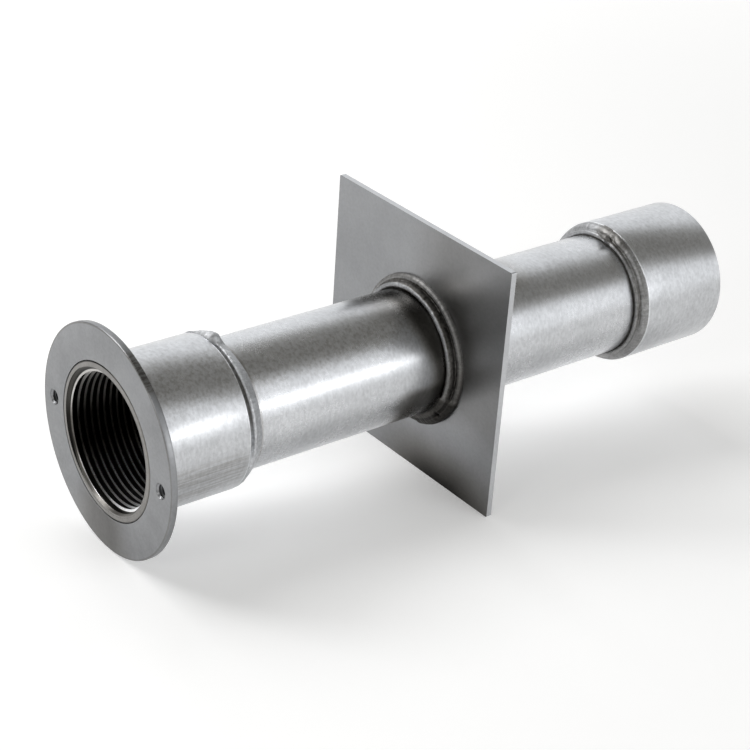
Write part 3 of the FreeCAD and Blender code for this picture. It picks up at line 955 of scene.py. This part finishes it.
for name, points, node in (
    ("front_socket_turned", socket_points, "front_socket"),
    ("rear_socket_turned", rear_points, "rear_socket"),
):
    socket = add_piece(make_mesh(name, points, socket_faces), socket_steel, node)
    socket.data.materials.append(thread_steel)
    for face in socket.data.polygons:
        inside = math.hypot(face.center.x, face.center.z) < THREAD_EDGE * MM
        face.material_index = int(inside and abs(face.normal.y) < FLAT_END)
add_piece(flange_mesh, flange_steel, "front_flange")
for mesh, material, node in (
    (front_bead, front_bead_steel, "front_socket_weld"),
    (plate_bead, plate_bead_steel, "plate_front_weld"),
    (back_bead, plain_bead_steel, "plate_back_weld"),
    (rear_bead, rear_bead_steel, "rear_socket_weld"),
    (flange_bead, plain_bead_steel, "flange_weld"),
):
    add_piece(mesh, material, node)
add_piece(tube, pipe_steel, "pipe")

plate = nodes["wall_plate"]
plate.data.materials.clear()
plate.data.materials.append(plate_steel)
soft_edge = plate.modifiers.new("soft_edge", "BEVEL")
soft_edge.width = PLATE_EDGE * MM
soft_edge.segments = 2
soft_edge.limit_method = "ANGLE"
print(f"plate: kept from the frame, with a soft edge of {PLATE_EDGE} mm")

# %% [markdown]
# ## The studio
# The sleeve stands on the flange's rim and the plate's lower edge, so the floor leans by about three
# degrees against the frame. The sleeve could be tipped instead, but then it would leave the shared frame.

# %% Floor
FLOOR_SIZE = 40
RIM_PLACE = 0.3
front_rest = Vector((0, RIM_PLACE, -flange_radius)) * MM
back_rest = Vector((0, plate_front, plate_bottom)) * MM
lean = math.atan2(back_rest.z - front_rest.z, back_rest.y - front_rest.y)
bpy.ops.mesh.primitive_plane_add(size=FLOOR_SIZE, location=back_rest, rotation=(lean, 0, 0))
floor = bpy.context.object
floor.name = "floor"
print(f"the floor leans by {math.degrees(lean):.2f} degrees")

# %% [markdown]
# The picture's ground is white. White paper alone would come out grey here, and stronger lamps would burn
# out the steel. So rays from the camera and mirrored ones see the paper lifted by a glow, which grows
# with the distance and leaves a soft shadow under the sleeve.

# %% Paper
paper = bpy.data.materials.new("paper")
paper.use_nodes = True
tree = paper.node_tree
tree.nodes.clear()
output = add_node(tree, "ShaderNodeOutputMaterial")
matt = add_node(tree, "ShaderNodeBsdfDiffuse", {"Color": (0.85, 0.85, 0.85, 1)})
ray = add_node(tree, "ShaderNodeLightPath").outputs
mirrored = sums(tree, "MAXIMUM", ray["Is Glossy Ray"], ray["Is Transmission Ray"])
shown = sums(tree, "MAXIMUM", ray["Is Camera Ray"], mirrored)
on_floor = add_node(tree, "ShaderNodeTexCoord").outputs["Object"]
distance = add_node(tree, "ShaderNodeVectorMath", {0: on_floor}, operation="LENGTH").outputs["Value"]
paleness = step_between(tree, distance, 0.3, 1.6, 0.28, 0.75)
glow = product(tree, shown, paleness)
lift = add_node(tree, "ShaderNodeEmission", {"Color": (1, 1, 1, 1), "Strength": glow})
both = add_node(tree, "ShaderNodeAddShader", {0: matt.outputs[0], 1: lift.outputs[0]})
tree.links.new(both.outputs[0], output.inputs[0])
floor.data.materials.append(paper)
print(f"paper: {len(tree.nodes)} nodes")

# %% [markdown]
# Metal shows what is round it, so most of the light on it comes from the sky. The sky is bright low down
# on the right and dim overhead, as in a light tent with an open top, and a second bright wall stands on
# the left. Both fade towards the front, and their borders slant, as the highlights on the pipe do. A
# photograph of a tent could light the sleeve too, but a few smooth steps can be matched to the picture
# one by one. Rays from the camera see plain white beyond the floor.

# %% Sky
world = bpy.data.worlds.new("tent")
bpy.context.scene.world = world
world.use_nodes = True
tree = world.node_tree
tree.nodes.clear()
output = add_node(tree, "ShaderNodeOutputWorld")
direction = add_node(tree, "ShaderNodeTexCoord").outputs["Generated"]
across, along, up = add_node(tree, "ShaderNodeSeparateXYZ", {0: direction}).outputs
height = sums(tree, "DEGREES", sums(tree, "ARCTAN2", up, across))
wall = step_between(tree, sums(tree, "MULTIPLY_ADD", along, 40, height), 58, 80, 1.2, 0.22)
left_wall = step_between(tree, sums(tree, "MULTIPLY_ADD", along, 90, height), 156, 184, 0.0, 1.1)
above = step_between(tree, up, -0.02, 0.02)
rear = step_between(tree, along, -0.3, 0.35, 0.22, 1.0)
walls = sums(tree, "MAXIMUM", wall, sums(tree, "MULTIPLY", left_wall, above))
glow = sums(tree, "MULTIPLY", walls, rear)
tone = add_node(tree, "ShaderNodeCombineColor", {
    0: step_between(tree, glow, 0.1, 0.9, 1.03, 0.99),
    1: 1.0,
    2: step_between(tree, glow, 0.1, 0.9, 0.92, 1.01),
}).outputs[0]
straight = add_node(tree, "ShaderNodeLightPath").outputs["Is Camera Ray"]
seen_glow = sums(tree, "MAXIMUM", glow, straight)
sky = add_node(tree, "ShaderNodeBackground", {"Color": tone, "Strength": seen_glow})
tree.links.new(sky.outputs[0], output.inputs[0])
print(f"sky: {len(tree.nodes)} nodes")

# %% [markdown]
# Four soft lamps do what the sky can't. A faint, narrow one from the right grazes the front, and a large
# one high on the left lights the paper and the upper sides. A small one in front lights the flange's face,
# and the last one reaches into the mouth and makes the thread's crests shine.

# %% Lamps
def soft_light(name, place, aim, width, height, watts, spread=180):
    """A rectangular soft light at a place, aimed at a point, in metres."""
    lamp = bpy.data.lights.new(name, "AREA")
    lamp.shape = "RECTANGLE"
    lamp.size = width
    lamp.size_y = height
    lamp.energy = watts
    lamp.spread = math.radians(spread)
    light = show(name, lamp)
    light.location = place
    light.rotation_euler = (Vector(aim) - Vector(place)).to_track_quat("-Z", "Y").to_euler()
    print(f"{name}: {watts} W")


soft_light("side_light", (1.0, 0.5, 0.28), (0, -0.1, 0), 0.4, 0.2, 0.03, 32)
soft_light("top_light", (-0.85, -0.1, 1.05), (0, 0.12, 0), 1.0, 0.9, 9)
soft_light("front_light", (0.35, -0.8, 0.5), (0, 0, 0), 0.2, 0.2, 1.0)
soft_light("thread_light", (-0.5, -0.5, 0.6), (0, 0, 0), 0.3, 0.3, 2.8)

# %% [markdown]
# ## The camera
# It was fitted to the picture from the flange, both sockets and the plate's corners. It looks at the middle
# of the plate's front from a distance, moved a little to the left and down in its own view, and is rolled by
# four degrees. Its focal length is known in pixels, so it is turned into millimetres with the picture's
# width.

# %% Camera
AZIMUTH, ELEVATION, ROLL = (math.radians(angle) for angle in (50.718, 28.487, -4.032))
CAMERA_LEFT, CAMERA_DOWN, CAMERA_BACK = 0.013154, 0.009077, 0.651564
FOCAL_LENGTH_PIXELS = 1941.991
PICTURE_WIDTH_PIXELS = 750
SENSOR_WIDTH = 36

back = Vector((
    math.sin(AZIMUTH) * math.cos(ELEVATION), -math.cos(AZIMUTH) * math.cos(ELEVATION), math.sin(ELEVATION),
))
level_right = (-back).cross(Vector((0, 0, 1))).normalized()
level_down = (-back).cross(level_right)
right = math.cos(ROLL) * level_right + math.sin(ROLL) * level_down
down = math.cos(ROLL) * level_down - math.sin(ROLL) * level_right
middle = Vector((0, plate_front, 0)) * MM
place = middle - CAMERA_LEFT * right + CAMERA_DOWN * down + CAMERA_BACK * back
camera_data = bpy.data.cameras.new("camera")
camera_data.sensor_width = SENSOR_WIDTH
camera_data.lens = FOCAL_LENGTH_PIXELS * SENSOR_WIDTH / PICTURE_WIDTH_PIXELS
camera = show("camera", camera_data)
facing = Matrix((right, -down, back)).transposed()
camera.matrix_world = Matrix.Translation(place) @ facing.to_4x4()
bpy.context.scene.camera = camera
bpy.context.scene.view_settings.view_transform = "Standard"
print(f"camera at {tuple(round(value, 4) for value in place)} m, lens {camera_data.lens:.1f} mm")
